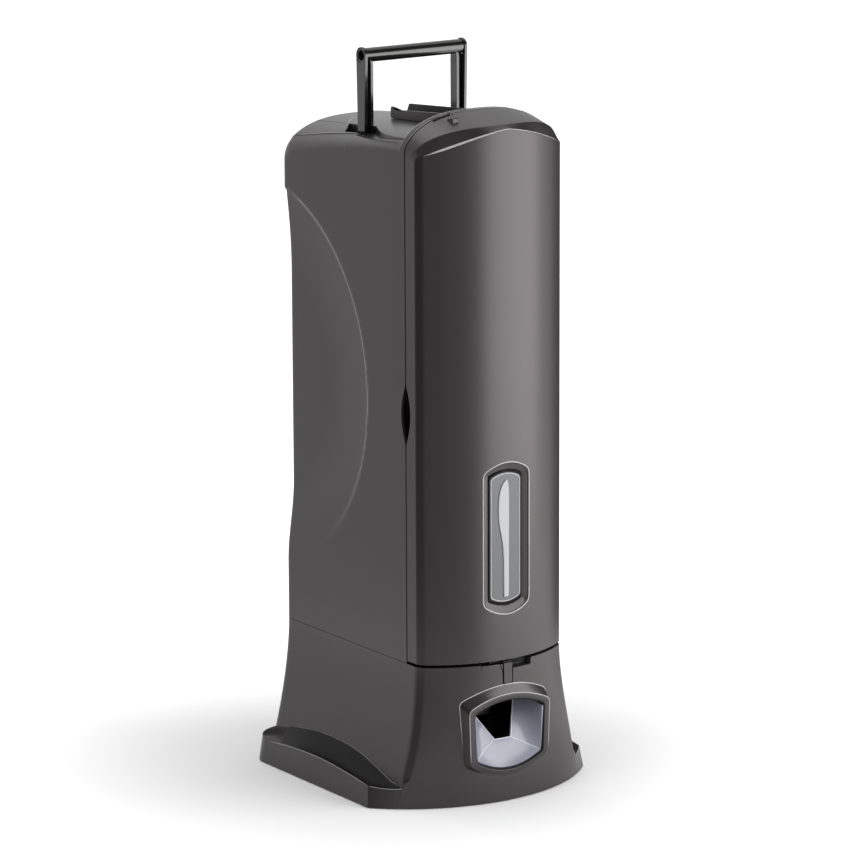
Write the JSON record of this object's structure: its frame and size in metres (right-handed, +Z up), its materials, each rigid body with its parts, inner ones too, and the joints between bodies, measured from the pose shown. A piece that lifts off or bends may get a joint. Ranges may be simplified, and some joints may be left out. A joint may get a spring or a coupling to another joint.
{
  "type": "cutlery dispenser",
  "caption": "Counter-top plastic knife dispenser: tall column on a flared base, tilting front door, top latch, folding carry handle and a push scoop in a front window.",
  "frame": {"origin": "centre of the bounding box in plan, at the height of the surface that the feet stand on", "axes": "+Z up, -Y towards the user (the door and the window), +X to the right as the user faces the front"},
  "size_m": [0.22, 0.2354, 0.621],
  "materials": {
    "charcoal_shell": "satin",
    "inner_plastic": "satin",
    "handle_black": "gloss",
    "icon_panel": "satin",
    "pale_mark": "satin",
    "frosted_scoop": "gloss",
    "foot_rubber": "matte",
    "plain_steel": "satin"
  },
  "bodies": {
    "housing": {"base_shell": "charcoal_shell", "base_plate": "inner_plastic", "foot_front_left": "foot_rubber", "foot_rear_left": "foot_rubber", "foot_front_right": "foot_rubber", "foot_rear_right": "foot_rubber", "base_screw_front_left": "plain_steel", "base_screw_rear_left": "plain_steel", "base_screw_front_right": "plain_steel", "base_screw_rear_right": "plain_steel", "housing_screw_front_left": "plain_steel", "housing_screw_rear_left": "plain_steel", "housing_screw_front_right": "plain_steel", "housing_screw_rear_right": "plain_steel", "rear_housing": "charcoal_shell", "handle_pin_left": "plain_steel", "handle_pin_right": "plain_steel", "magazine_guide_left": "inner_plastic", "magazine_guide_right": "inner_plastic", "hopper": "inner_plastic", "shuttle_track": "inner_plastic", "return_spring": "plain_steel", "latch_spring": "plain_steel", "scoop_axle": "plain_steel"},
    "door": {"door_shell": "charcoal_shell", "door_icon_panel": "icon_panel", "door_knife_mark": "pale_mark", "door_key_tab": "charcoal_shell", "door_pivot_pin": "plain_steel", "door_keeper": "plain_steel"},
    "latch": {"latch_slide": "charcoal_shell", "latch_retainer": "plain_steel"},
    "handle": {"handle_arm_left": "handle_black", "handle_arm_right": "handle_black", "handle_grip": "handle_black"},
    "follower": {"follower_weight": "inner_plastic"},
    "shuttle": {"shuttle": "inner_plastic"},
    "scoop": {"push_scoop": "frosted_scoop"}
  },
  "joints": [
    {"name": "door_tilt", "type": "hinge", "parent": "housing", "child": "door", "pos_m": [0, -0.10675, 0.115], "axis": [1, 0, 0], "range_deg": [0, 26]},
    {"name": "latch_travel", "type": "slide", "parent": "housing", "child": "latch", "axis": [0, 0.9985, -0.0555], "range_m": [0, 0.008], "stiffness_N_per_m": 100, "springref_m": -0.01, "deforming": ["latch_spring"]},
    {"name": "handle_fold", "type": "hinge", "parent": "housing", "child": "handle", "pos_m": [0, 0.02475, 0.546], "axis": [-1, 0, 0], "range_deg": [0, 62]},
    {"name": "shuttle_travel", "type": "slide", "parent": "housing", "child": "shuttle", "axis": [0, 1, 0], "range_m": [0, 0.0071], "stiffness_N_per_m": 300, "springref_m": -0.01, "deforming": ["return_spring"]},
    {"name": "scoop_push", "type": "hinge", "parent": "housing", "child": "scoop", "pos_m": [0, -0.09175, 0.024], "axis": [-1, 0, 0], "range_deg": [0, 12]},
    {"name": "follower_travel", "type": "slide", "parent": "housing", "child": "follower", "axis": [0, 0, 1], "range_m": [0, 0.3]}
  ],
  "couplings": [
    {"joint": "scoop_push", "follows": "shuttle_travel", "rad_per_m": 29.4}
  ]
}
